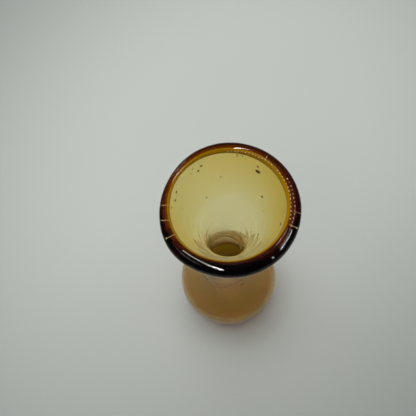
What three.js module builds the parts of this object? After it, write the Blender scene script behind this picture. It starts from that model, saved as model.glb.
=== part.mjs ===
// A free-blown glass bud vase in two pieces of glass: the blown body (bulb, waist and flared
// cup drawn from one bubble) and the lip wrap, a thick bead of darker glass laid hot round the
// cup's edge. Millimetres, +Z up, the origin at the centre of the foot on the table.
import * as THREE from "three";

// Driving dimensions
const HEIGHT = 182; // table to the top of the lip wrap
const LIP_RADIUS = 33; // axis to the outside of the lip wrap
const WRAP_THICKNESS = 5.8; // diameter of the wrap's round section
const FUSE_GAP = 0.3; // clearance between the wrap's groove and the cup's edge
const CUP_FLARE = THREE.MathUtils.degToRad(17); // lean of the cup's wall at the lip, from the axis
const CUP_WALL = 2.1; // thickness of the cup's wall at the lip
const WALL_INSET = 0.7; // the wall's middle lies this far inwards from the middle of the wrap
const WAIST_HEIGHT = 100; // level of the narrowest place
const WAIST_BORE_RADIUS = 9.4; // the hole that stems pass through
const WAIST_WALL = 1.2; // drawn thin where the bubble was necked in
const BULB_HEIGHT = 29; // level of the widest place
const BULB_RADIUS = 31.5;
const BULB_WALL = 2.3;
const BASE_THICKNESS = 8.5; // solid glass under the bulb's hollow, from the table
const FOOT_RADIUS = 19.5; // outside of the flat ring that it stands on
const HEEL_LEAN = THREE.MathUtils.degToRad(38); // rise of the bulb where it leaves the foot
const PONTIL_RADIUS = 11.5; // ground hollow in the middle of the foot
const PONTIL_DEPTH = 1.3;

// Fullness of the drawn curves: each handle as a share of the stretch of wall that it shapes
const HEEL_FULLNESS = 0.5;
const SHOULDER_FULLNESS = 0.28;
const STEM_FULLNESS = 0.62;
const THROAT_FULLNESS = 0.63;
const CUP_FULLNESS = 0.31;
const HOLLOW_FULLNESS = 0.62;

// Facets
const TURN_FACETS = 60;
const LONG_CURVE_STEPS = 11;
const SHORT_CURVE_STEPS = 6;
const WRAP_STEPS = 18;

const point = (radius, height) => new THREE.Vector2(radius, height);

// The points of a curve from one end towards the other, without the last one.
const allButLast = (curve, steps) => curve.getPoints(steps).slice(0, -1);

// A closed solid of revolution about Z. The profile holds radius and height, anticlockwise.
function turned(name, profile, material) {
  const geometry = new THREE.LatheGeometry(profile, TURN_FACETS).rotateX(Math.PI / 2);
  const mesh = new THREE.Mesh(geometry, material);
  mesh.name = name;
  return mesh;
}

// The middle of the wrap's section, and the middle of the cup's rounded edge inside it.
const upTheWall = point(Math.sin(CUP_FLARE), Math.cos(CUP_FLARE));
const outOfTheWall = point(Math.cos(CUP_FLARE), -Math.sin(CUP_FLARE));
const outwardAngle = -CUP_FLARE; // of outOfTheWall, from the radius
const wrapCentre = point(LIP_RADIUS - WRAP_THICKNESS / 2, HEIGHT - WRAP_THICKNESS / 2);
const edgeCentre = wrapCentre.clone().addScaledVector(outOfTheWall, -WALL_INSET);

// A point beside the cup's edge: across is measured out of the wall and along goes up it.
function besideEdge(across, along) {
  return edgeCentre.clone().addScaledVector(outOfTheWall, across).addScaledVector(upTheWall, along);
}

// The wall from the widest level of the bulb up to the waist: upright at both ends.
function shoulderCurve(bulbRadius, waistRadius) {
  const rise = WAIST_HEIGHT - BULB_HEIGHT;
  return new THREE.CubicBezierCurve(
    point(bulbRadius, BULB_HEIGHT),
    point(bulbRadius, BULB_HEIGHT + SHOULDER_FULLNESS * rise),
    point(waistRadius, WAIST_HEIGHT - STEM_FULLNESS * rise),
    point(waistRadius, WAIST_HEIGHT),
  );
}

// The wall from the waist up to the lip: upright at the waist, leaning by the flare at the lip.
function cupCurve(waistRadius, across) {
  const rise = edgeCentre.y - WAIST_HEIGHT;
  return new THREE.CubicBezierCurve(
    point(waistRadius, WAIST_HEIGHT),
    point(waistRadius, WAIST_HEIGHT + THROAT_FULLNESS * rise),
    besideEdge(across, -CUP_FULLNESS * rise),
    besideEdge(across, 0),
  );
}

// The underside and the bulb's outside up to its widest level.
function footAndHeel() {
  const reach = HEEL_FULLNESS * BULB_HEIGHT;
  const pontil = new THREE.QuadraticBezierCurve(
    point(0, PONTIL_DEPTH),
    point(PONTIL_RADIUS / 2, PONTIL_DEPTH),
    point(PONTIL_RADIUS, 0),
  );
  const heel = new THREE.CubicBezierCurve(
    point(FOOT_RADIUS, 0),
    point(FOOT_RADIUS + reach * Math.cos(HEEL_LEAN), reach * Math.sin(HEEL_LEAN)),
    point(BULB_RADIUS, BULB_HEIGHT - reach),
    point(BULB_RADIUS, BULB_HEIGHT),
  );
  return [...pontil.getPoints(SHORT_CURVE_STEPS), ...allButLast(heel, SHORT_CURVE_STEPS)];
}

// The bulb's hollow below its widest level, down to the middle of its thick floor.
function hollowFloor() {
  const radius = BULB_RADIUS - BULB_WALL;
  const drop = BULB_HEIGHT - BASE_THICKNESS;
  return new THREE.CubicBezierCurve(
    point(radius, BULB_HEIGHT),
    point(radius, BULB_HEIGHT - HOLLOW_FULLNESS * drop),
    point(HOLLOW_FULLNESS * radius, BASE_THICKNESS),
    point(0, BASE_THICKNESS),
  );
}

function blownBody() {
  const halfWall = CUP_WALL / 2;
  const outerWaist = WAIST_BORE_RADIUS + WAIST_WALL;
  const lipEdge = new THREE.EllipseCurve(
    edgeCentre.x,
    edgeCentre.y,
    halfWall,
    halfWall,
    outwardAngle,
    outwardAngle + Math.PI,
  );
  const innerCup = allButLast(cupCurve(WAIST_BORE_RADIUS, -halfWall), LONG_CURVE_STEPS);
  const innerBulb = shoulderCurve(BULB_RADIUS - BULB_WALL, WAIST_BORE_RADIUS);
  const profile = [
    ...footAndHeel(),
    ...allButLast(shoulderCurve(BULB_RADIUS, outerWaist), LONG_CURVE_STEPS),
    ...allButLast(cupCurve(outerWaist, halfWall), LONG_CURVE_STEPS),
    ...lipEdge.getPoints(SHORT_CURVE_STEPS),
    ...innerCup.slice(1).reverse(),
    ...innerBulb.getPoints(LONG_CURVE_STEPS).reverse(),
    ...hollowFloor().getPoints(SHORT_CURVE_STEPS).slice(1),
  ];
  const strawGlass = new THREE.MeshStandardMaterial({
    color: 0xb7ac74,
    roughness: 0.04,
    metalness: 0,
    transparent: true,
    opacity: 0.5,
  });
  return turned("blown_body", profile, strawGlass);
}

// A round bead with a groove in its underside, which the cup's edge stands in.
function lipWrap() {
  const beadRadius = WRAP_THICKNESS / 2;
  const grooveRadius = CUP_WALL / 2 + FUSE_GAP;
  const outerMouth = Math.acos((grooveRadius - WALL_INSET) / beadRadius); // below outOfTheWall, seen from the middle
  const innerMouth = Math.acos((-grooveRadius - WALL_INSET) / beadRadius);
  const bead = new THREE.EllipseCurve(
    wrapCentre.x,
    wrapCentre.y,
    beadRadius,
    beadRadius,
    outwardAngle - outerMouth,
    outwardAngle - innerMouth + 2 * Math.PI,
  );
  const groove = new THREE.EllipseCurve(
    edgeCentre.x,
    edgeCentre.y,
    grooveRadius,
    grooveRadius,
    outwardAngle + Math.PI,
    outwardAngle,
    true,
  );
  const section = [...bead.getPoints(WRAP_STEPS), ...groove.getPoints(SHORT_CURVE_STEPS)];
  const amberGlass = new THREE.MeshStandardMaterial({
    color: 0x5a2a08,
    roughness: 0.04,
    metalness: 0,
    transparent: true,
    opacity: 0.9,
  });
  return turned("lip_wrap", [...section, section[0].clone()], amberGlass);
}

const vase = new THREE.Group();
vase.name = "bud_vase";
vase.add(blownBody(), lipWrap());

export default vase;
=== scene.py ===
"""A free-blown glass bud vase: a straw-coloured body edged with a bead of dark amber glass.

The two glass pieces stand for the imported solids. They are turned again at a fine step, pulled
slightly out of true as hand-blown glass is, and given real glass: light bends at each surface and
is coloured by the length of its way through the wall. Lengths are in millimetres and angles in
radians, except where metres are named.
"""
import logging
import math
from dataclasses import dataclass
from enum import Enum

import bpy
import numpy as np
from mathutils import Matrix, Vector
from mathutils.bvhtree import BVHTree


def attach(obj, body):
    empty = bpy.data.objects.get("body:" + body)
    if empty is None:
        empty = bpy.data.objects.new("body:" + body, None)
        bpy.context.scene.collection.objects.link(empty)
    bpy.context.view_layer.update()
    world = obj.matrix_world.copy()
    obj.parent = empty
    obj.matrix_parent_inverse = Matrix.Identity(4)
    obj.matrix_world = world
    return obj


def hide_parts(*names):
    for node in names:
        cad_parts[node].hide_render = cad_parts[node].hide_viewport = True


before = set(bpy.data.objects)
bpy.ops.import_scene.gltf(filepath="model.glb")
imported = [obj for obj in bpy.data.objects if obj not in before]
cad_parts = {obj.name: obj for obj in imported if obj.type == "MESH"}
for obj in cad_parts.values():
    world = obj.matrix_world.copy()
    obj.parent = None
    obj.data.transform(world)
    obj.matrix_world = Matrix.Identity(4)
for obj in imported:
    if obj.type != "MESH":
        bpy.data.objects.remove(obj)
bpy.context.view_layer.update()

LOG = logging.getLogger("bud_vase")
MM = 0.001
ROOT = "root"
WHITE = "#FFFFFF"
FULL_TURN = 2 * math.pi
ON_AXIS = 1e-6  # a radius below this counts as none
MERGE_METRES = 1e-7  # points closer than this are one point

# A Mix node's colour sockets, by number because their names repeat
MIX_FIRST = 6
MIX_SECOND = 7
MIX_RESULT = 2

# How often light may pass on: through walls of glass, off mirrors and through clear faces
GLASS_BOUNCES = 40
MIRROR_BOUNCES = 12
CLEAR_BOUNCES = 24

Pair = tuple[float, float]
Triple = tuple[float, float, float]
Levels = tuple[float, float, float, float]
Colour = tuple[float, float, float, float]


class Slot(Enum):
    """The record's material slots."""

    STRAW = "straw_glass"
    AMBER = "amber_glass"


class Domain(Enum):
    """What a number is written on: each point of a mesh or each face."""

    POINT = "POINT"
    FACE = "FACE"


def linear(hex_colour: str) -> Colour:
    """Turn an sRGB hex colour to linear light.

    Args:
        hex_colour: Six hex digits after a hash.

    Returns:
        Red, green and blue from 0 to 1, and a full alpha.
    """
    shares = [int(hex_colour[start:start + 2], 16) / 255 for start in (1, 3, 5)]
    red, green, blue = (
        share / 12.92 if share <= 0.04045 else ((share + 0.055) / 1.055) ** 2.4 for share in shares
    )
    return red, green, blue, 1.0


def add_node(tree: bpy.types.NodeTree, kind: str, inputs: dict | None = None, **settings) -> bpy.types.Node:
    """Add a node with its settings and links.

    Args:
        tree: The node tree that takes it.
        kind: The node's type name.
        inputs: Input name or number, to the output socket that feeds it or to its value.
        settings: The node's own properties.

    Returns:
        The new node.
    """
    node = tree.nodes.new(kind)
    for name, value in settings.items():
        setattr(node, name, value)
    for name, source in (inputs or {}).items():
        if isinstance(source, bpy.types.NodeSocket):
            tree.links.new(source, node.inputs[name])
        else:
            node.inputs[name].default_value = source
    return node


def smoothstep(low: float | np.ndarray, high: float | np.ndarray, value: np.ndarray) -> np.ndarray:
    """Rise smoothly from 0 at low to 1 at high."""
    share = np.clip((value - low) / (high - low), 0, 1)
    return share * share * (3 - 2 * share)


def between(levels: Levels, value: np.ndarray) -> np.ndarray:
    """Rise smoothly to 1 between the first two levels, and fall to 0 between the last two."""
    return smoothstep(levels[0], levels[1], value) * (1 - smoothstep(levels[2], levels[3], value))


def bell(middle: float, width: float, value: np.ndarray) -> np.ndarray:
    """Rise to 1 at the middle, with soft sides of the stated width."""
    return np.exp(-((value - middle) / width) ** 2)


def bezier(points: list[Pair | np.ndarray], steps: int) -> np.ndarray:
    """Sample a cubic curve.

    Args:
        points: Its two ends with the two handles between them.
        steps: How many stretches to cut it into.

    Returns:
        steps + 1 points.
    """
    start, first, second, end = np.array(points, float)
    share = np.linspace(0, 1, steps + 1)[:, None]
    rest = 1 - share
    handles = 3 * rest ** 2 * share * first + 3 * rest * share ** 2 * second
    return rest ** 3 * start + handles + share ** 3 * end


def arc(centre: np.ndarray, radius: float, start: float, end: float, steps: int) -> np.ndarray:
    """Sample a round stretch of a section, from one angle to another."""
    angle = np.linspace(start, end, steps + 1)
    return centre + radius * np.stack([np.cos(angle), np.sin(angle)], axis=1)


def run_along(points: np.ndarray) -> np.ndarray:
    """Measure the way along a line of points, from 0 at the first one."""
    return np.concatenate([[0], np.cumsum(np.hypot(*np.diff(points, axis=0).T))])


@dataclass(frozen=True)
class GlassFinish:
    """Soda-lime glass, blown and fire-polished: glossy, clear, and coloured by its depth.

    The layer's colour is what white light keeps after one layer of the stated depth, so a thin edge
    is pale and a long way through the same glass is dark. Numbers on the mesh say where it differs:
    a fused face bends no light, a film dulls and tints the surface, a painted tint colours it further,
    and a cloud lets less light through and shows the surface's colour. On the bead the film, the
    painted tint and the cloud paint light: a brown, gold and red glow. In the bulb the painted tint is
    painted shade.
    """

    name: str
    layer_colour: str
    layer_mm: float
    ior: float = 1.51
    roughness: float = 0.03
    film_roughness: float | None = None
    film_mm: float = 7.0
    film_patches: Pair = (0.3, 0.7)
    film_least: float = 0.85
    mirror_tint: str = WHITE
    film_and_glow_colour: str = WHITE
    painted_glow_and_shade_colour: str = WHITE

    def haze(self, tree: bpy.types.NodeTree, film: bpy.types.NodeSocket) -> bpy.types.NodeSocket | float:
        """Dull the surface where the film lies, in soft patches.

        Args:
            tree: The material's nodes.
            film: How much film there is.

        Returns:
            The roughness, a plain number where the film isn't dull.
        """
        if self.film_roughness is None:
            return self.roughness
        place = add_node(tree, "ShaderNodeTexCoord")
        patches = add_node(tree, "ShaderNodeTexNoise", {
            "Vector": place.outputs["Object"],
            "Scale": 1 / (self.film_mm * MM),
        })
        clearing = add_node(tree, "ShaderNodeMapRange", {
            "Value": patches.outputs["Fac"],
            "From Min": self.film_patches[0],
            "From Max": self.film_patches[1],
            "To Min": self.film_least,
        })
        patchy = add_node(tree, "ShaderNodeMath", {
            0: film,
            1: clearing.outputs["Result"],
        }, operation="MULTIPLY")
        dulled = add_node(tree, "ShaderNodeMapRange", {
            "Value": patchy.outputs["Value"],
            "To Min": self.roughness,
            "To Max": self.film_roughness,
        })
        return dulled.outputs["Result"]

    def material(self) -> bpy.types.Material:
        """Make the glass.

        Returns:
            A material that bends light at bare faces and lets it straight on at fused ones.
        """
        material = bpy.data.materials.new(self.name)
        material.use_nodes = True
        tree = material.node_tree
        tree.nodes.clear()
        fused, film, painted_glow_and_shade, cloud_and_painted_glow = (
            add_node(tree, "ShaderNodeAttribute", attribute_name=name).outputs["Fac"]
            for name in ("fused", "film", "painted_glow_and_shade", "cloud_and_painted_glow")
        )
        bend = add_node(tree, "ShaderNodeMapRange", {"Value": fused, "To Min": self.ior, "To Max": 1.0})
        # The film tints the bulb's bloom, and on the bead it paints a brown glow
        film_and_glow_tinted = add_node(tree, "ShaderNodeMix", {
            "Factor": film,
            MIX_FIRST: linear(WHITE),
            MIX_SECOND: linear(self.film_and_glow_colour),
        }, data_type="RGBA")
        # Painted light and shade: a gold glow on the bead, and a grey-brown shade in the bulb
        glow_and_shade_painted = add_node(tree, "ShaderNodeMix", {
            "Factor": painted_glow_and_shade,
            MIX_FIRST: film_and_glow_tinted.outputs[MIX_RESULT],
            MIX_SECOND: linear(self.painted_glow_and_shade_colour),
        }, data_type="RGBA")
        # The cloud lets less light through: in the bulb's bloom, and on the bead under the painted glow
        clear = add_node(tree, "ShaderNodeMapRange", {"Value": cloud_and_painted_glow, "To Min": 1.0, "To Max": 0.0})
        surface = add_node(tree, "ShaderNodeBsdfPrincipled", {
            "Base Color": glow_and_shade_painted.outputs[MIX_RESULT],
            "IOR": bend.outputs["Result"],
            "Roughness": self.haze(tree, film),
            "Transmission Weight": clear.outputs["Result"],
            "Specular Tint": linear(self.mirror_tint),
        })
        taken = [-math.log(share) / (self.layer_mm * MM) for share in linear(self.layer_colour)[:3]]
        density = max(taken)
        kept = [1 - share / density for share in taken]
        depth = add_node(tree, "ShaderNodeVolumeAbsorption", {"Color": (*kept, 1), "Density": density})
        add_node(tree, "ShaderNodeOutputMaterial", {
            "Surface": surface.outputs["BSDF"],
            "Volume": depth.outputs["Volume"],
        })
        return material


@dataclass(frozen=True)
class FlawFinish:
    """A flaw in the glass: a stony face, or a broken face painted pale as a highlight, matt, with a grain of
    lighter and darker spots.

    The real grain is too fine to show in the render, so it is drawn coarser.
    """

    name: str
    dark_colour: str
    light_colour: str
    roughness: float
    grain_mm: float = 0.3

    def material(self) -> bpy.types.Material:
        """Make the flaw's surface.

        Returns:
            A material that varies between the two colours.
        """
        material = bpy.data.materials.new(self.name)
        material.use_nodes = True
        tree = material.node_tree
        place = add_node(tree, "ShaderNodeTexCoord")
        grain = add_node(tree, "ShaderNodeTexNoise", {
            "Vector": place.outputs["Object"],
            "Scale": 1 / (self.grain_mm * MM),
        })
        colour = add_node(tree, "ShaderNodeMix", {
            "Factor": grain.outputs["Fac"],
            MIX_FIRST: linear(self.dark_colour),
            MIX_SECOND: linear(self.light_colour),
        }, data_type="RGBA")
        surface = tree.nodes["Principled BSDF"]
        surface.inputs["Roughness"].default_value = self.roughness
        tree.links.new(colour.outputs[MIX_RESULT], surface.inputs["Base Color"])
        return material


@dataclass(frozen=True)
class VaseSizes:
    """The driving dimensions: the solids' own, apart from a narrower waist and a rolled edge to the cup."""

    height: float = 182
    lip_radius: float = 33
    wrap_thickness: float = 5.8
    cup_flare: float = math.radians(17)
    cup_wall: float = 2.1
    wall_out: float = -0.7
    roll_radius: float = 1.55
    roll_rise: float = 0.35
    waist_height: float = 100
    waist_bore_radius: float = 8.8
    waist_wall: float = 1.2
    bulb_height: float = 29
    bulb_radius: float = 31.5
    bulb_wall: float = 2.3
    base_thickness: float = 8.5
    foot_radius: float = 19.5
    heel_lean: float = math.radians(38)
    pontil_radius: float = 11.5
    pontil_depth: float = 1.3
    heel_fullness: float = 0.5
    shoulder_fullness: float = 0.28
    stem_fullness: float = 0.62
    waist_fullness: float = 0.63
    cup_fullness: float = 0.31
    hollow_fullness: float = 0.62

    @property
    def lip_centre(self) -> np.ndarray:
        """The middle of the wrap's section."""
        half = self.wrap_thickness / 2
        return np.array([self.lip_radius - half, self.height - half])

    @property
    def up_wall(self) -> np.ndarray:
        """The way the cup's wall runs at the lip."""
        return np.array([math.sin(self.cup_flare), math.cos(self.cup_flare)])

    @property
    def out_of_wall(self) -> np.ndarray:
        """Square to the cup's wall at the lip, outwards."""
        return np.array([math.cos(self.cup_flare), -math.sin(self.cup_flare)])

    @property
    def cup_end(self) -> np.ndarray:
        """The top of the cup's even wall, inside the wrap."""
        return self.lip_centre + self.wall_out * self.out_of_wall + self.roll_rise * self.up_wall

    @property
    def outer_waist(self) -> float:
        """The waist's outside radius."""
        return self.waist_bore_radius + self.waist_wall

    @property
    def inner_bulb(self) -> float:
        """The radius of the bulb's hollow."""
        return self.bulb_radius - self.bulb_wall

    def rolled_edge(self, slack: float, steps: int) -> np.ndarray:
        """Draw the cup's fire-polished edge, a roll that swells inwards.

        Args:
            slack: How far outside the glass to draw it.
            steps: How many stretches to cut it into.

        Returns:
            The points from the outer face over the top to the inner face.
        """
        inwards = self.roll_radius - self.cup_wall / 2
        centre = self.cup_end - inwards * self.out_of_wall
        radius = self.roll_radius + slack
        tuck = math.acos((self.cup_wall / 2 - inwards + slack) / radius)
        return arc(centre, radius, -self.cup_flare, FULL_TURN - tuck - self.cup_flare, steps)

    def cup_curve(self, waist_radius: float, across: float, steps: int) -> np.ndarray:
        """Draw one face of the wall from the waist up to the lip.

        Args:
            waist_radius: The face's radius at the waist.
            across: How far the face lies outside the wall's middle at the lip.
            steps: How many stretches to cut it into.

        Returns:
            The points from the waist up.
        """
        rise = self.cup_end[1] - self.waist_height
        end = self.cup_end + across * self.out_of_wall
        return bezier([
            (waist_radius, self.waist_height),
            (waist_radius, self.waist_height + self.waist_fullness * rise),
            end - self.cup_fullness * rise * self.up_wall,
            end,
        ], steps)

    def shoulder_curve(self, bulb_radius: float, waist_radius: float, steps: int) -> np.ndarray:
        """Draw one face of the wall from the bulb's widest level up to the waist.

        Args:
            bulb_radius: The face's radius at the bulb.
            waist_radius: The face's radius at the waist.
            steps: How many stretches to cut it into.

        Returns:
            The points from the bulb up.
        """
        rise = self.waist_height - self.bulb_height
        return bezier([
            (bulb_radius, self.bulb_height),
            (bulb_radius, self.bulb_height + self.shoulder_fullness * rise),
            (waist_radius, self.waist_height - self.stem_fullness * rise),
            (waist_radius, self.waist_height),
        ], steps)

    def pontil_curve(self, steps: int) -> np.ndarray:
        """Draw the ground hollow under the foot, a parabola, from its middle outwards."""
        return bezier([
            (0, self.pontil_depth),
            (self.pontil_radius / 3, self.pontil_depth),
            (self.pontil_radius * 2 / 3, self.pontil_depth * 2 / 3),
            (self.pontil_radius, 0),
        ], steps)

    def heel_curve(self, steps: int) -> np.ndarray:
        """Draw the bulb's outside from the foot up to its widest level."""
        reach = self.heel_fullness * self.bulb_height
        return bezier([
            (self.foot_radius, 0),
            (self.foot_radius + reach * math.cos(self.heel_lean), reach * math.sin(self.heel_lean)),
            (self.bulb_radius, self.bulb_height - reach),
            (self.bulb_radius, self.bulb_height),
        ], steps)

    def hollow_curve(self, steps: int) -> np.ndarray:
        """Draw the bulb's hollow from its widest level down to the middle of its floor."""
        drop = self.bulb_height - self.base_thickness
        return bezier([
            (self.inner_bulb, self.bulb_height),
            (self.inner_bulb, self.bulb_height - self.hollow_fullness * drop),
            (self.hollow_fullness * self.inner_bulb, self.base_thickness),
            (0, self.base_thickness),
        ], steps)


@dataclass(frozen=True)
class LipJoint:
    """Where the amber wrap closes over the cup's edge.

    The wrap overhangs the inside of the cup, and its heat drew a thin flash of amber down the
    outside, which runs out to nothing.
    """

    sizes: VaseSizes
    flash_steps: int = 33
    flash_thickness: float = 0.3
    fillet: float = 4.8
    fillet_leave: float = math.radians(-60)
    fillet_fullness: float = 0.4
    film: float = 0.03
    crease_step: float = 0.2
    steps: int = 24
    wall_steps: int = 64

    @property
    def half_seat(self) -> float:
        """Half the width of the seat that the cup's wall stands in."""
        return self.sizes.cup_wall / 2 + self.film

    @property
    def crease_drop(self) -> float:
        """How far the inner crease lies below the wrap's middle, down the wall."""
        inset = self.sizes.wall_out - self.half_seat
        return math.sqrt((self.sizes.wrap_thickness / 2) ** 2 - inset ** 2)

    def covered_wall(self, slack: float) -> np.ndarray:
        """Draw the wall's outer face under the flash, from its tip up to the cup's edge."""
        across = self.sizes.cup_wall / 2 + slack
        return self.sizes.cup_curve(self.sizes.outer_waist, across, self.wall_steps)[-self.flash_steps:]

    def inner_wall(self) -> np.ndarray:
        """Draw the wall's inner face from the crease down to the waist.

        Returns:
            The crease, and the face's points that lie at least a short step below it.
        """
        sizes = self.sizes
        face = sizes.cup_curve(sizes.waist_bore_radius, -sizes.cup_wall / 2, self.wall_steps)[::-1]
        drop = self.crease_drop + sizes.roll_rise
        crease = face[0] - drop * sizes.up_wall
        below = np.hypot(*(face - face[0]).T) > drop + self.crease_step
        return np.vstack([crease, face[below]])

    def groove(self) -> np.ndarray:
        """Draw the wrap's seat.

        Returns:
            The points up the inner face, round the cup's edge and down to the flash's tip.
        """
        sizes = self.sizes
        drop = self.crease_drop + sizes.roll_rise
        crease = sizes.cup_end - self.half_seat * sizes.out_of_wall - drop * sizes.up_wall
        edge = sizes.rolled_edge(self.film, self.steps)[::-1]
        return np.vstack([crease, edge, self.covered_wall(self.film)[::-1][1:]])

    def flash_face(self) -> np.ndarray:
        """Draw the outside of the flash.

        Returns:
            The points from its tip up to where it leaves the wall for the bead.
        """
        wall = self.covered_wall(2 * self.film)
        run = run_along(wall)
        rise = np.gradient(wall, axis=0)
        out = np.stack([rise[:, 1], -rise[:, 0]], axis=1) / np.hypot(*rise.T)[:, None]
        face = wall + out * (self.flash_thickness * run / run[-1])[:, None]
        return face[run < run[-1] - self.fillet]

    def outside(self) -> np.ndarray:
        """Draw the wrap's bare face.

        Returns:
            The points up the flash, over the bead and down to the inner crease.
        """
        sizes = self.sizes
        bead = sizes.wrap_thickness / 2
        face = self.flash_face()
        up = face[-1] - face[-2]
        reach = self.fillet_fullness * self.fillet
        leave_way = np.array([math.cos(self.fillet_leave), math.sin(self.fillet_leave)])
        falling = np.array([leave_way[1], -leave_way[0]])
        leave = sizes.lip_centre + bead * leave_way
        fillet = bezier([
            face[-1],
            face[-1] + reach * up / np.hypot(*up),
            leave + reach * falling,
            leave,
        ], self.steps)
        crease = FULL_TURN - math.acos((sizes.wall_out - self.half_seat) / bead) - sizes.cup_flare
        over = arc(sizes.lip_centre, bead, self.fillet_leave, crease, 2 * self.steps)
        return np.vstack([face[:-1], fillet[:-1], over])


@dataclass(frozen=True)
class MakersHand:
    """How the vase was pulled out of true while it was hot.

    The waist drifted to the near left. The lip is thicker towards some sides than others, by shares
    of its depth, a little wider than it is deep, fuller at the near left and flatter at the far left.
    """

    sizes: VaseSizes
    waist_drift: Pair = (-2.3, -1.4)
    uneven_from: float = 150.0
    uneven_full: float = 176.0
    thick_right: float = 0.16
    thick_near: float = 0.28
    thick_near_and_far: float = 0.14
    oval: float = 0.007
    full_turn: float = math.radians(213)
    full_width: float = math.radians(27)
    full_push: float = 1.46
    full_thick: float = 0.17
    flat_turn: float = math.radians(146)
    flat_width: float = math.radians(25)
    flat_push: float = 0.7
    flat_thick: float = 0.12

    def shift(self, points: np.ndarray) -> np.ndarray:
        """Move true points to where the maker's hand left them.

        Args:
            points: Places on the true form, in metres.

        Returns:
            The same places on the hand-made form, in metres.
        """
        sizes = self.sizes
        x, y, z = (points / MM).T
        radius = np.hypot(x, y)
        safe = np.maximum(radius, ON_AXIS)
        right = x / safe
        far = y / safe
        turn = np.arctan2(y, x) % FULL_TURN
        full = bell(self.full_turn, self.full_width, turn)
        flat = bell(self.flat_turn, self.flat_width, turn)
        share = smoothstep(self.uneven_from, self.uneven_full, z)
        uneven = self.thick_right * right - self.thick_near * far + self.thick_near_and_far * far * far
        stretch = 1 + share * (uneven + self.full_thick * full - self.flat_thick * flat)
        push = share * (self.full_push * full - self.flat_push * flat)
        new_radius = sizes.lip_radius - (sizes.lip_radius - radius) * stretch + push
        new_z = sizes.height - (sizes.height - z) * stretch
        scale = np.where(radius > ON_AXIS, new_radius / safe, 1)
        wide = scale * (1 + self.oval * share)
        drift = between((sizes.bulb_height, sizes.waist_height, sizes.waist_height, sizes.lip_centre[1]), z)
        across, along = self.waist_drift
        return np.stack([x * wide + across * drift, y * scale + along * drift, new_z], axis=1) * MM


def read_rows(items: bpy.types.bpy_prop_collection, name: str) -> np.ndarray:
    """Read a place from each point or face of a mesh.

    Args:
        items: The points or the faces.
        name: The place's name in Blender.

    Returns:
        Rows of x, y and z, in metres.
    """
    flat = np.empty(len(items) * 3, np.float32)
    items.foreach_get(name, flat)
    return flat.reshape(-1, 3).astype(float)


def move_points(piece: bpy.types.Object, places: np.ndarray) -> None:
    """Put a piece's points at new places, in metres."""
    piece.data.vertices.foreach_set("co", places.ravel())
    piece.data.update()


def on_section(places: np.ndarray) -> np.ndarray:
    """Turn places in metres to radius and height in millimetres."""
    return np.stack([np.hypot(places[:, 0], places[:, 1]), places[:, 2]], axis=1) / MM


def note_values(piece: bpy.types.Object, name: str, values: np.ndarray,
                domain: Domain = Domain.POINT) -> None:
    """Write a number on each point or face of a piece, for its finish to read.

    Args:
        piece: A mesh.
        name: What the number is called.
        values: The numbers, in the order of the points or faces.
        domain: Which of the two they belong to.
    """
    attribute = piece.data.attributes.new(name, "FLOAT", domain.value)
    attribute.data.foreach_set("value", values.astype(np.float32))


def turn_section(name: str, section: np.ndarray, facets: int, closed: bool) -> bpy.types.Object:
    """Turn a section about the upright axis, as on a lathe.

    Args:
        name: The piece's name.
        section: Radius and height of each point.
        facets: How many steps the turn has.
        closed: True if the section closes on itself, False if it starts and ends on the axis.

    Returns:
        The turned piece, at the origin, with its faces pointing out of the glass.
    """
    bpy.ops.object.select_all(action="DESELECT")
    bpy.ops.mesh.primitive_circle_add(vertices=len(section), radius=MM, fill_type="NOTHING")
    piece = bpy.context.object
    piece.name = name
    places = np.zeros((len(section), 3))
    places[:, 0] = section[:, 0] * MM
    places[:, 2] = section[:, 1] * MM
    piece.data.vertices.foreach_set("co", places.ravel())
    bpy.ops.object.mode_set(mode="EDIT")
    if not closed:
        bpy.ops.mesh.select_mode(type="EDGE")
        bpy.ops.mesh.select_all(action="DESELECT")
        bpy.ops.object.mode_set(mode="OBJECT")
        for edge in piece.data.edges:
            edge.select = set(edge.vertices) == {0, len(section) - 1}
        bpy.ops.object.mode_set(mode="EDIT")
        bpy.ops.mesh.delete(type="EDGE")
    bpy.ops.mesh.select_mode(type="VERT")
    bpy.ops.mesh.select_all(action="SELECT")
    bpy.ops.mesh.spin(steps=facets, angle=FULL_TURN, center=(0, 0, 0), axis=(0, 0, 1))
    bpy.ops.mesh.select_all(action="SELECT")
    bpy.ops.mesh.remove_doubles(threshold=MERGE_METRES)
    bpy.ops.mesh.normals_make_consistent(inside=False)
    bpy.ops.object.mode_set(mode="OBJECT")
    bpy.ops.object.shade_smooth()
    return piece


def refine(section: np.ndarray, low: float, high: float, step: float) -> np.ndarray:
    """Add points to a section between two levels.

    Args:
        section: Radius and height of each point.
        low: The lower level.
        high: The upper level.
        step: The longest stretch that is left between points there.

    Returns:
        The section with the added points.
    """
    points = [section[0]]
    for first, second in zip(section[:-1], section[1:]):
        middle = (first[1] + second[1]) / 2
        parts = math.ceil(np.hypot(*(second - first)) / step) if low < middle < high else 1
        points += [first + (second - first) * part / parts for part in range(1, parts + 1)]
    return np.array(points)


def distance_to(curve: np.ndarray, places: np.ndarray) -> np.ndarray:
    """Measure how far places lie from a drawn curve.

    Args:
        curve: The curve's points.
        places: Places on the same section.

    Returns:
        The least distance of each place.
    """
    least = np.full(len(places), np.inf)
    for start, end in zip(curve[:-1], curve[1:]):
        way = end - start
        share = np.clip((places - start) @ way / (way @ way), 0, 1)
        least = np.minimum(least, np.hypot(*(places - start - share[:, None] * way).T))
    return least


def dress(piece: bpy.types.Object, finish: GlassFinish | FlawFinish) -> None:
    """Give a piece its finish, and let it ride with the vase.

    Args:
        piece: A finished mesh.
        finish: What it is made of.
    """
    piece.data.materials.clear()
    piece.data.materials.append(finish.material())
    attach(piece, ROOT)


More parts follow.
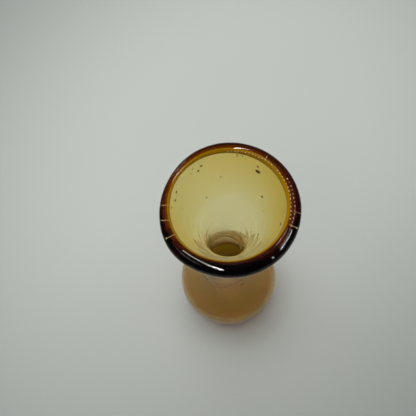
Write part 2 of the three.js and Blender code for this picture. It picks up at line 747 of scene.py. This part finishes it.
@dataclass
class BlownBody:
    """The bubble of straw glass: bulb, waist and flared cup in one wall.

    Inside are the marks of the tools: upright flutes in the throat, faint rings up the cup and a jack
    line at the waist. Years of flower water left a bloom in the bulb. Low on its far side the inside
    is tinted grey-brown: painted shade.
    """

    sizes: VaseSizes
    joint: LipJoint
    hand: MakersHand
    facets: int = 256
    long_steps: int = 48
    short_steps: int = 20
    flute_depth: float = 0.016
    flute_counts: tuple[int, ...] = (17, 25, 37)
    flute_levels: Levels = (112.0, 126.0, 136.0, 156.0)
    ring_depth: float = 0.03
    ring_pitches: Pair = (5.5, 9.35)
    ring_levels: Levels = (120.0, 140.0, 160.0, 172.0)
    jack_level: float = 103.5
    jack_depth: float = 0.2
    jack_width: float = 0.9
    jack_reach: float = 3.6
    jack_step: float = 0.4
    bloom_steps: int = 40
    bloom_reach: float = 1.0
    bloom_fade: Pair = (55.0, 95.0)
    bloom_cloud: float = 0.2
    # Where the painted shade lies: from the middle towards the far side, fading out upwards
    painted_shade_far: Pair = (4.0, 16.0)
    painted_shade_fade: Pair = (30.0, 50.0)
    foot_slack: float = 0.1

    def section(self) -> np.ndarray:
        """Draw the wall's section from the pontil round the lip to the hollow's floor.

        Returns:
            Radius and height of each point, with more of them at the jack line.
        """
        sizes = self.sizes
        drawn = np.vstack([
            sizes.pontil_curve(self.short_steps),
            sizes.heel_curve(self.short_steps),
            sizes.shoulder_curve(sizes.bulb_radius, sizes.outer_waist, self.long_steps)[1:],
            sizes.cup_curve(sizes.outer_waist, sizes.cup_wall / 2, self.joint.wall_steps)[1:-1],
            sizes.rolled_edge(0, self.short_steps),
            self.joint.inner_wall(),
            sizes.shoulder_curve(sizes.inner_bulb, sizes.waist_bore_radius, self.long_steps)[::-1][1:],
            sizes.hollow_curve(self.short_steps)[1:],
        ])
        low = self.jack_level - self.jack_reach
        high = self.jack_level + self.jack_reach
        return refine(drawn, low, high, self.jack_step)

    def mark_fused(self, piece: bpy.types.Object) -> None:
        """Note which faces the wrap is fused to: the edge inside the bead, and the wall under the flash.

        Args:
            piece: The true body.
        """
        middle = on_section(read_rows(piece.data.polygons, "center"))
        in_bead = np.hypot(*(middle - self.sizes.lip_centre).T) < self.sizes.wrap_thickness / 2
        under_flash = distance_to(self.joint.covered_wall(0), middle) < self.joint.film
        note_values(piece, "fused", in_bead | under_flash, Domain.FACE)

    def mark_bloom(self, piece: bpy.types.Object) -> None:
        """Note the bloom inside the bulb, the painted shade low on its far side and the ground foot.

        Args:
            piece: The true body.
        """
        sizes = self.sizes
        places = read_rows(piece.data.vertices, "co")
        section = on_section(places)
        radius, height = section.T
        drawn = np.vstack([
            sizes.shoulder_curve(sizes.inner_bulb, sizes.waist_bore_radius, self.bloom_steps),
            sizes.hollow_curve(self.bloom_steps)[1:],
        ])
        apart = np.hypot(radius[:, None] - drawn[None, :, 0], height[:, None] - drawn[None, :, 1])
        inside = np.min(apart, axis=1) < self.bloom_reach
        bloom = inside * (1 - smoothstep(*self.bloom_fade, height))
        painted_shade = inside * smoothstep(*self.painted_shade_far, places[:, 1] / MM)
        low = height < sizes.pontil_depth + self.foot_slack
        foot = low & (radius < sizes.foot_radius + self.foot_slack)
        note_values(piece, "film", np.maximum(bloom, foot))
        note_values(piece, "cloud_and_painted_glow", self.bloom_cloud * bloom)
        # Painted shade: a grey-brown tint low on the far side of the hollow
        note_values(piece, "painted_glow_and_shade", painted_shade * (1 - smoothstep(*self.painted_shade_fade, height)))

    def score_throat(self, piece: bpy.types.Object) -> None:
        """Cut the marks of the tools into the inner face of the cup and the waist.

        The flutes are waves of several counts, each started elsewhere, so that no two flutes are alike.

        Args:
            piece: The true body.
        """
        places = read_rows(piece.data.vertices, "co")
        section = on_section(places)
        height = section[:, 1]
        inner = distance_to(self.joint.inner_wall(), section) < self.joint.film
        turn = np.arctan2(places[:, 1], places[:, 0])
        flutes = sum(np.sin(count * turn + count) for count in self.flute_counts)
        rings = sum(np.sin(FULL_TURN * height / pitch) for pitch in self.ring_pitches)
        depth = self.flute_depth * between(self.flute_levels, height) * flutes
        depth += self.ring_depth * between(self.ring_levels, height) * rings
        depth -= self.jack_depth * bell(self.jack_level, self.jack_width, height)
        places[:, :2] *= (1 + inner * depth / np.maximum(section[:, 0], ON_AXIS))[:, None]
        move_points(piece, places)

    def build(self, finish: GlassFinish) -> bpy.types.Object:
        """Turn the body, mark it, pull it out of true and dress it.

        Args:
            finish: The straw glass.

        Returns:
            The body, which stands for its solid.
        """
        piece = turn_section("vase_body", self.section(), self.facets, closed=False)
        self.mark_fused(piece)
        self.mark_bloom(piece)
        self.score_throat(piece)
        move_points(piece, self.hand.shift(read_rows(piece.data.vertices, "co")))
        dress(piece, finish)
        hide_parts("blown_body")
        return piece


@dataclass
class LipWrap:
    """The bead of amber glass round the cup's edge.

    Its inner edge is painted with light: brown at first, then gold over the straw roll, for light that
    comes through the thin glass there. Pairs of angles round the bead's section are for its far side,
    where the painted brown reaches further, and its near side. The near side also has a painted red
    line, for light that comes through from below.
    """

    sizes: VaseSizes
    joint: LipJoint
    hand: MakersHand
    facets: int = 384
    # Where the painted glow lies round the bead's section, and how strong it is
    painted_gold_from: Pair = (math.radians(113), math.radians(132))
    painted_gold_to: float = math.radians(215)
    painted_gold_step: float = math.radians(4)
    painted_glow_cloud: float = 0.6
    painted_brown_from: Pair = (math.radians(45), math.radians(106))
    painted_brown_share: float = 0.3
    painted_brown_by: float = 0.05
    painted_red_near: Pair = (0.6, 0.9)
    painted_red_levels: Levels = (math.radians(-35), math.radians(-5), math.radians(50), math.radians(80))
    painted_red_share: float = 0.25

    def mark_painted_glow(self, piece: bpy.types.Object) -> None:
        """Note where light is painted on the wrap's thin edge, and in what colour.

        Args:
            piece: The true bead.
        """
        places = read_rows(piece.data.vertices, "co")
        offset = on_section(places) - self.sizes.lip_centre
        angle = np.arctan2(offset[:, 1], offset[:, 0])
        inwards = angle % FULL_TURN
        near = (1 - places[:, 1] / np.hypot(places[:, 0], places[:, 1])) / 2
        bare = np.hypot(*offset.T) > self.sizes.wrap_thickness / 2 - self.joint.film / 2
        painted_gold_from = np.interp(near, (0, 1), self.painted_gold_from)
        painted_brown_from = np.interp(near, (0, 1), self.painted_brown_from)
        edge = bare * (1 - smoothstep(self.painted_gold_to - self.painted_gold_step, self.painted_gold_to + self.painted_gold_step, inwards))
        gold = edge * smoothstep(painted_gold_from - self.painted_gold_step, painted_gold_from + self.painted_gold_step, inwards)
        brown = edge * self.painted_brown_share * smoothstep(painted_brown_from, painted_gold_from, inwards)
        red = bare * self.painted_red_share * smoothstep(*self.painted_red_near, near) * between(self.painted_red_levels, -angle)
        # Painted light: the gold and brown glow at the inner edge, and the red line on the near side
        thin = np.maximum(np.maximum(gold, brown), red)
        note_values(piece, "cloud_and_painted_glow", self.painted_glow_cloud * thin)
        note_values(piece, "film", np.clip(thin / self.painted_brown_by, 0, 1))
        note_values(piece, "painted_glow_and_shade", gold)

    def build(self, finish: GlassFinish) -> bpy.types.Object:
        """Turn the bead, mark its groove as fused, and dress it.

        Args:
            finish: The amber glass.

        Returns:
            The bead, which stands for its solid.
        """
        outside = self.joint.outside()
        groove = self.joint.groove()
        piece = turn_section("lip_bead", np.vstack([outside, groove[1:-1]]), self.facets, closed=True)
        middle = on_section(read_rows(piece.data.polygons, "center"))
        in_groove = distance_to(groove, middle) < distance_to(outside, middle)
        note_values(piece, "fused", in_groove, Domain.FACE)
        self.mark_painted_glow(piece)
        move_points(piece, self.hand.shift(read_rows(piece.data.vertices, "co")))
        dress(piece, finish)
        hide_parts("lip_wrap")
        return piece


@dataclass
class ViewPoint:
    """The photograph's camera, found from the outlines of the lip, the waist and the bulb."""

    sizes: VaseSizes
    frame_pixels: float = 416
    focal_pixels: float = 700
    pitch: float = math.radians(72.1)
    roll: float = math.radians(4.0)
    lip_distance: float = 327.9
    lip_pixel: Pair = (230.5, 208.2)
    sensor_mm: float = 36.0
    clip_from: float = 10.0

    def axes(self) -> tuple[Vector, Vector, Vector]:
        """Work out the picture's own directions.

        Returns:
            Right, down and into the picture.
        """
        ahead = Vector((0, math.cos(self.pitch), -math.sin(self.pitch)))
        level = Vector((1, 0, 0))
        below = ahead.cross(level)
        right = level * math.cos(self.roll) + below * math.sin(self.roll)
        down = below * math.cos(self.roll) - level * math.sin(self.roll)
        return right, down, ahead

    def way(self, pixel: Pair) -> Vector:
        """Find the way from the lens through a pixel.

        Args:
            pixel: A place in the picture.

        Returns:
            The way, one long along the lens's axis.
        """
        right, down, ahead = self.axes()
        across, below = ((part - self.frame_pixels / 2) / self.focal_pixels for part in pixel)
        return ahead + across * right + below * down

    def place(self) -> Vector:
        """Where the lens is, in metres."""
        lip = Vector((0, 0, self.sizes.lip_centre[1]))
        return (lip - self.lip_distance * self.way(self.lip_pixel)) * MM

    def touch(self, tree: BVHTree, pixel: Pair) -> tuple[Vector | None, Vector | None]:
        """Find where the sight through a pixel first meets a surface.

        Args:
            tree: The surface.
            pixel: A place in the picture.

        Returns:
            The place in metres and the surface's normal there, or two Nones.
        """
        place, normal, _, _ = tree.ray_cast(self.place(), self.way(pixel).normalized())
        return place, normal

    def build(self) -> bpy.types.Object:
        """Make the camera and look through it.

        Returns:
            The camera.
        """
        right, down, ahead = self.axes()
        lens = bpy.data.cameras.new("view")
        lens.sensor_width = self.sensor_mm
        lens.lens = self.sensor_mm * self.focal_pixels / self.frame_pixels
        lens.clip_start = self.clip_from * MM
        camera = bpy.data.objects.new("view", lens)
        turn = Matrix((right, -down, -ahead)).transposed().to_4x4()
        camera.matrix_world = Matrix.Translation(self.place()) @ turn
        bpy.context.scene.collection.objects.link(camera)
        bpy.context.scene.camera = camera
        return camera


def surface_tree(*pieces: bpy.types.Object) -> BVHTree:
    """Sort the faces of some pieces for finding places on them.

    Args:
        pieces: Meshes at the origin.

    Returns:
        The faces of all of them.
    """
    corners = []
    faces = []
    for piece in pieces:
        first = len(corners)
        corners += [vertex.co for vertex in piece.data.vertices]
        faces += [[first + index for index in face.vertices] for face in piece.data.polygons]
    return BVHTree.FromPolygons(corners, faces)


@dataclass(frozen=True)
class Grain:
    """A small flattened lump on a surface, longer than it is wide."""

    radius: float
    flatness: float
    long_share: float = 1.2
    short_share: float = 0.8

    def build(self, place: Vector, normal: Vector) -> bpy.types.Object:
        """Set the grain on a surface.

        Args:
            place: Where it sits, in metres.
            normal: The surface's normal there.

        Returns:
            The grain.
        """
        bpy.ops.object.select_all(action="DESELECT")
        turn = normal.to_track_quat("Z", "Y").to_euler()
        bpy.ops.mesh.primitive_ico_sphere_add(
            subdivisions=2, radius=self.radius * MM, location=place, rotation=turn)
        grain = bpy.context.object
        grain.scale = (self.long_share, self.short_share, self.flatness)
        bpy.ops.object.shade_smooth()
        return grain


def join_pieces(name: str, pieces: list[bpy.types.Object]) -> bpy.types.Object:
    """Join pieces into one, with its place in its mesh.

    Args:
        name: The joined piece's name.
        pieces: Mesh objects, anywhere.

    Returns:
        One object at the origin.
    """
    bpy.ops.object.select_all(action="DESELECT")
    for piece in pieces:
        piece.select_set(True)
    bpy.context.view_layer.objects.active = pieces[0]
    bpy.ops.object.join()
    bpy.ops.object.transform_apply(location=True, rotation=True, scale=True)
    joined = bpy.context.object
    joined.name = name
    return joined


@dataclass
class RimCracks:
    """Hairline cracks across the wrap, drawn as pale threads: the pale colour is a painted reflection of the
    light that the cracks catch.

    Each crack is the pixels of its inner and outer end. Some have a chip at the outer end.
    """

    view: ViewPoint
    bead: bpy.types.Object
    thread: float = 0.1
    chip: Grain = Grain(0.4, 0.6)
    steps: int = 8
    cracks: tuple[tuple[Pair, Pair], ...] = (
        ((293.9, 211.6), (301.0, 213.7)),
        ((289.3, 224.4), (296.9, 228.0)),
        ((265.3, 160.1), (267.3, 155.5)),
        ((236.7, 154.5), (237.8, 149.9)),
        ((168.9, 205.0), (160.7, 205.5)),
        ((169.4, 220.3), (160.7, 220.6)),
        ((175.0, 234.3), (166.3, 238.4)),
    )
    chipped: tuple[int, ...] = (1, 6)

    def lay_thread(self, places: list[Vector]) -> bpy.types.Object:
        """Draw one thread along a crack, as a closed tube.

        Args:
            places: Places on the glass, in metres.

        Returns:
            The thread.
        """
        bpy.ops.object.select_all(action="DESELECT")
        bpy.ops.curve.primitive_nurbs_path_add()
        thread = bpy.context.object
        curve = thread.data
        curve.splines.clear()
        spline = curve.splines.new("POLY")
        spline.points.add(len(places) - 1)
        for knot, place in zip(spline.points, places):
            knot.co = (*place, 1)
        curve.bevel_depth = self.thread * MM
        curve.bevel_resolution = 1
        curve.use_fill_caps = True
        bpy.ops.object.convert(target="MESH")
        bpy.ops.object.shade_smooth()
        return bpy.context.object

    def build(self, finish: FlawFinish) -> bpy.types.Object:
        """Lay a pale thread, a painted reflection, along each crack, with a pale chip on those that have
        one.

        Args:
            finish: The painted reflection on the broken face.

        Returns:
            All the cracks in one piece.
        """
        tree = surface_tree(self.bead)
        pieces = []
        for number, (inner, outer) in enumerate(self.cracks):
            pixels = np.linspace(inner, outer, self.steps + 1)
            touched = [self.view.touch(tree, pixel) for pixel in pixels.tolist()]
            touched = [(place, normal) for place, normal in touched if place is not None]
            pieces.append(self.lay_thread([place for place, _ in touched]))
            if number in self.chipped:
                pieces.append(self.chip.build(*touched[-1]))
        piece = join_pieces("rim_cracks", pieces)
        dress(piece, finish)
        return piece


@dataclass
class PaintedGlintDots:
    """Rows of tiny pale dots on the bead: painted highlights, for the dotted glints along the rim.

    Each row is how many dots it has and the pixels that it runs through.
    """

    view: ViewPoint
    bead: bpy.types.Object
    radius: float = 0.25
    flatness: float = 0.35
    swell: tuple[float, ...] = (1.0, 0.75, 0.95, 0.65, 0.85)
    rows: tuple[tuple[int, tuple[Pair, ...]], ...] = (
        (18, ((265.3, 159.8), (274.7, 166.7), (281.9, 176.1), (287.1, 184.4), (290.2, 194.4), (291.0, 203.3),
              (291.0, 212.2), (290.2, 218.9))),
        (19, ((287.4, 178.7), (291.0, 185.8), (293.2, 194.4), (294.7, 203.3), (295.0, 206.9), (294.4, 215.2),
              (291.3, 226.7), (286.3, 238.7), (280.2, 247.6))),
        (11, ((228.0, 151.2), (241.5, 151.6), (249.2, 153.0), (256.7, 156.3), (262.0, 158.6))),
        (22, ((183.5, 250.9), (190.0, 255.4), (197.0, 259.6), (205.0, 263.6), (211.0, 266.0))),
    )

    def build(self, finish: FlawFinish) -> bpy.types.Object:
        """Set each row of painted glint dots on the bead, at even steps.

        Args:
            finish: The painted glint.

        Returns:
            All the painted glint dots in one piece.
        """
        tree = surface_tree(self.bead)
        glint_dots = []
        for count, pixels in self.rows:
            guides = np.array(pixels)
            run = run_along(guides)
            steps = np.linspace(0, run[-1], count)
            along = np.stack([np.interp(steps, run, part) for part in guides.T], axis=1)
            for number, pixel in enumerate(along.tolist()):
                swell = self.swell[number % len(self.swell)]
                glint_dots.append(Grain(self.radius * swell, self.flatness).build(*self.view.touch(tree, pixel)))
        piece = join_pieces("painted_glint_dots", glint_dots)
        dress(piece, finish)
        return piece


@dataclass
class GlassSpecks:
    """Dark grains of furnace stone caught in the wall of the cup: each a pixel and a radius."""

    view: ViewPoint
    glass: tuple[bpy.types.Object, ...]
    flatness: float = 0.3
    grains: tuple[tuple[Pair, float], ...] = (
        ((201.1, 166.0), 0.6), ((198.3, 171.0), 0.6), ((192.6, 169.0), 0.375), ((191.0, 173.7), 0.375),
        ((176.4, 192.0), 0.6), ((175.4, 200.3), 0.6), ((171.5, 207.6), 0.45), ((170.3, 198.0), 0.45),
        ((257.8, 166.7), 0.6), ((257.8, 171.6), 1.2), ((262.0, 196.8), 0.6), ((280.6, 224.1), 0.675),
        ((283.9, 212.4), 0.45), ((206.6, 197.7), 0.45), ((220.4, 176.9), 0.375), ((193.4, 225.9), 0.3),
        ((207.1, 231.0), 0.375), ((200.7, 247.1), 0.3), ((177.8, 234.3), 0.3), ((182.1, 209.6), 0.3),
        ((263.6, 211.6), 0.3), ((237.0, 154.8), 0.375), ((237.4, 156.6), 0.3), ((242.4, 156.2), 0.375),
        ((245.3, 159.0), 0.2625), ((261.6, 159.2), 0.45),
    )

    def build(self, finish: FlawFinish) -> bpy.types.Object:
        """Set each grain in the face of the glass that its pixel shows.

        Args:
            finish: The stone.

        Returns:
            All the grains in one piece.
        """
        tree = surface_tree(*self.glass)
        specks = [
            Grain(radius, self.flatness).build(*self.view.touch(tree, pixel))
            for pixel, radius in self.grains
        ]
        piece = join_pieces("glass_specks", specks)
        dress(piece, finish)
        return piece


@dataclass(frozen=True)
class CatchLight:
    """A long narrow lamp overhead that only shows as a glint in the glass."""

    name: str
    start: Pair
    end: Pair
    width: float
    brightness: float
    height: float = 900.0
    colour: str = "#FFFAF4"

    def build(self, aim: Vector) -> bpy.types.Object:
        """Hang the lamp, evenly bright all over.

        Args:
            aim: The place that it faces, in metres.

        Returns:
            The lamp.
        """
        start = Vector((*self.start, self.height)) * MM
        end = Vector((*self.end, self.height)) * MM
        middle = (start + end) / 2
        long_way = (end - start).normalized()
        facing = (middle - aim).normalized()
        facing = (facing - facing.dot(long_way) * long_way).normalized()
        light = bpy.data.lights.new(self.name, "AREA")
        light.color = linear(self.colour)[:3]
        light.shape = "RECTANGLE"
        light.size = (end - start).length
        light.size_y = self.width * MM
        light.energy = self.brightness * math.pi * light.size * light.size_y
        lamp = bpy.data.objects.new(self.name, light)
        turn = Matrix((long_way, facing.cross(long_way), facing)).transposed().to_4x4()
        lamp.matrix_world = Matrix.Translation(middle) @ turn
        lamp.visible_camera = False
        lamp.visible_diffuse = False
        lamp.visible_transmission = False
        bpy.context.scene.collection.objects.link(lamp)
        return lamp


@dataclass
class LightTent:
    """The pale floor and the soft light round the vase. Its own places and sizes are in metres."""

    floor_colour: str = "#C6CBC6"
    # Painted light falloff: the floor's colour darkens from the pale middle to this towards its edge
    painted_falloff_colour: str = "#8F938F"
    floor_half: float = 2.0
    painted_pool_middle: Triple = (0.014, 0.1075, 0.0)
    floor_turn: Triple = (0.0, 0.0, math.radians(45))
    floor_oval: Triple = (1.0, 0.776, 1.0)
    painted_pool_to: float = 0.1
    painted_falloff_from: float = 0.4
    floor_roughness: float = 0.9
    floor_gloss: float = 0.1
    wall_colour: str = "#B4B6B4"
    dark_colour: str = "#2A2A2A"
    wall_fade: Pair = (0.15, 0.45)
    open_side: Pair = (-0.7, 0.0)
    mirrored_share: float = 0.06
    soft_size: float = 1.3
    soft_place: Triple = (-0.15, 0.25, 1.0)
    soft_power: float = 14.0
    catch_lights: tuple[CatchLight, ...] = (
        CatchLight("overhead_near", (-64, -20), (-99, -460), width=50, brightness=22),
        CatchLight("right_far", (590, -303), (499, 1), width=60, brightness=28),
        CatchLight("right_middle", (640, -610), (575, -470), width=60, brightness=34),
        CatchLight("left_far", (-400, 560), (-290, 700), width=45, brightness=20),
        CatchLight("left_near", (-300, 0), (-356, -381), width=200, brightness=0.6),
    )

    def card(self) -> bpy.types.Material:
        """Make the floor's matt card, which scatters light evenly; its colour darkens away from its middle,
        a painted falloff of the light.

        Returns:
            The material.
        """
        card = bpy.data.materials.new("matt_card")
        card.use_nodes = True
        tree = card.node_tree
        place = add_node(tree, "ShaderNodeTexCoord")
        middle = add_node(tree, "ShaderNodeMapping", {
            "Vector": place.outputs["Object"],
            "Location": self.painted_pool_middle,
            "Rotation": self.floor_turn,
            "Scale": self.floor_oval,
        }, vector_type="TEXTURE")
        reach = add_node(tree, "ShaderNodeVectorMath", {0: middle.outputs["Vector"]}, operation="LENGTH")
        # Painted falloff of the light: darker away from the middle
        painted_falloff = add_node(tree, "ShaderNodeMapRange", {
            "Value": reach.outputs["Value"],
            "From Min": self.painted_pool_to,
            "From Max": self.painted_falloff_from,
        }, interpolation_type="SMOOTHSTEP")
        colour = add_node(tree, "ShaderNodeMix", {
            "Factor": painted_falloff.outputs["Result"],
            MIX_FIRST: linear(self.floor_colour),
            MIX_SECOND: linear(self.painted_falloff_colour),
        }, data_type="RGBA")
        surface = tree.nodes["Principled BSDF"]
        surface.inputs["Roughness"].default_value = self.floor_roughness
        surface.inputs["Specular IOR Level"].default_value = self.floor_gloss
        tree.links.new(colour.outputs[MIX_RESULT], surface.inputs["Base Color"])
        return card

    def lay_floor(self) -> None:
        """Lay the floor, a wide sheet of card."""
        bpy.ops.object.select_all(action="DESELECT")
        bpy.ops.mesh.primitive_plane_add(size=2 * self.floor_half)
        floor = bpy.context.object
        floor.name = "floor"
        floor.data.materials.append(self.card())

    def light_walls(self) -> None:
        """Light the world as a tent: pale low down, and dark overhead and on the open near side.

        The near side is pale where it is looked at straight or through the glass. Reflections show only
        a small share of the pale walls.
        """
        world = bpy.data.worlds.new("tent")
        bpy.context.scene.world = world
        world.use_nodes = True
        tree = world.node_tree
        tree.nodes.clear()
        place = add_node(tree, "ShaderNodeTexCoord")
        way = add_node(tree, "ShaderNodeSeparateXYZ", {"Vector": place.outputs["Generated"]})
        low = add_node(tree, "ShaderNodeMapRange", {
            "Value": way.outputs["Z"],
            "From Min": self.wall_fade[0],
            "From Max": self.wall_fade[1],
            "To Min": 1.0,
            "To Max": 0.0,
        }, interpolation_type="SMOOTHSTEP")
        far = add_node(tree, "ShaderNodeMapRange", {
            "Value": way.outputs["Y"],
            "From Min": self.open_side[0],
            "From Max": self.open_side[1],
        }, interpolation_type="SMOOTHSTEP")
        path = add_node(tree, "ShaderNodeLightPath")
        seen = add_node(tree, "ShaderNodeMath", {
            0: path.outputs["Is Camera Ray"],
            1: path.outputs["Is Transmission Ray"],
        }, operation="MAXIMUM")
        side = add_node(tree, "ShaderNodeMath", {
            0: far.outputs["Result"],
            1: seen.outputs["Value"],
        }, operation="MAXIMUM")
        mirrored = add_node(tree, "ShaderNodeMapRange", {
            "Value": path.outputs["Is Glossy Ray"],
            "To Min": 1.0,
            "To Max": self.mirrored_share,
        })
        pale = add_node(tree, "ShaderNodeMath", {
            0: low.outputs["Result"],
            1: mirrored.outputs["Result"],
        }, operation="MULTIPLY")
        share = add_node(tree, "ShaderNodeMath", {
            0: pale.outputs["Value"],
            1: side.outputs["Value"],
        }, operation="MULTIPLY")
        colour = add_node(tree, "ShaderNodeMix", {
            "Factor": share.outputs["Value"],
            MIX_FIRST: linear(self.dark_colour),
            MIX_SECOND: linear(self.wall_colour),
        }, data_type="RGBA")
        glow = add_node(tree, "ShaderNodeBackground", {"Color": colour.outputs[MIX_RESULT]})
        add_node(tree, "ShaderNodeOutputWorld", {"Surface": glow.outputs["Background"]})

    def hang_soft_lamp(self) -> None:
        """Hang a wide soft lamp that faces the vase."""
        light = bpy.data.lights.new("soft_top", "AREA")
        light.energy = self.soft_power
        light.size = self.soft_size
        lamp = bpy.data.objects.new("soft_top", light)
        lamp.location = self.soft_place
        lamp.rotation_euler = (-Vector(self.soft_place)).to_track_quat("-Z", "Y").to_euler()
        lamp.visible_glossy = False
        lamp.visible_camera = False
        bpy.context.scene.collection.objects.link(lamp)

    def build(self, sizes: VaseSizes) -> None:
        """Set up the floor, the walls and the lamps.

        Args:
            sizes: The vase's, for the lip that the catch lights face.
        """
        self.lay_floor()
        self.light_walls()
        self.hang_soft_lamp()
        for catch_light in self.catch_lights:
            catch_light.build(Vector((0, 0, sizes.lip_centre[1] * MM)))


def set_light_paths() -> None:
    """Let light cross enough glass walls, and show colours as they are written."""
    scene = bpy.context.scene
    scene.view_settings.view_transform = "Standard"
    scene.cycles.max_bounces = GLASS_BOUNCES
    scene.cycles.transmission_bounces = GLASS_BOUNCES
    scene.cycles.glossy_bounces = MIRROR_BOUNCES
    scene.cycles.transparent_max_bounces = CLEAR_BOUNCES


def main() -> None:
    """Build the vase and its stage."""
    logging.basicConfig(level=logging.INFO, format="%(relativeCreated)d ms %(message)s")
    LOG.info("start")
    sizes = VaseSizes()
    hand = MakersHand(sizes)
    joint = LipJoint(sizes)

    # Blown straw glass: pale yellow in the thin cup, and dull golden brown where the bloom lies; the
    # grey-brown low on the bulb's far side is painted shade
    straw = GlassFinish("straw_soda_glass_blown", "#FCEEAA", layer_mm=2.0, film_roughness=0.35,
                        mirror_tint="#C8BCA8", film_and_glow_colour="#F8E8D2", painted_glow_and_shade_colour="#6C6455")
    # Trailed amber glass: nearly black through the bead; the brown to gold at its inner edge and the red
    # line on its near side are painted light
    amber = GlassFinish("amber_soda_glass_trailed", "#CEA642", layer_mm=1.0,
                        film_and_glow_colour="#8E5006", painted_glow_and_shade_colour="#B08806")
    # Unmelted furnace stone: dark brown and dull
    stone = FlawFinish("furnace_stone_grain", "#2A1A0C", "#5A3C1E", roughness=0.7)
    # Painted highlights: white glints on tiny dots on the bead, and straw-coloured reflections down in the
    # cracks
    glint_paint = FlawFinish("painted_glint_face", "#D8CFC4", "#FFFAF0", roughness=0.3)
    crack_glint_paint = FlawFinish("crack_painted_glint", "#B08A30", "#F0DC90", roughness=0.4)

    view = ViewPoint(sizes)
    view.build()
    LightTent().build(sizes)
    body = BlownBody(sizes, joint, hand).build(straw)
    bead = LipWrap(sizes, joint, hand).build(amber)
    cracks = RimCracks(view, bead).build(crack_glint_paint)
    glint_dots = PaintedGlintDots(view, bead).build(glint_paint)
    specks = GlassSpecks(view, (body, bead)).build(stone)
    for piece in (body, bead, cracks, glint_dots, specks):
        LOG.info("%s: %d faces", piece.name, len(piece.data.polygons))
    set_light_paths()


if __name__ == "__main__":
    main()
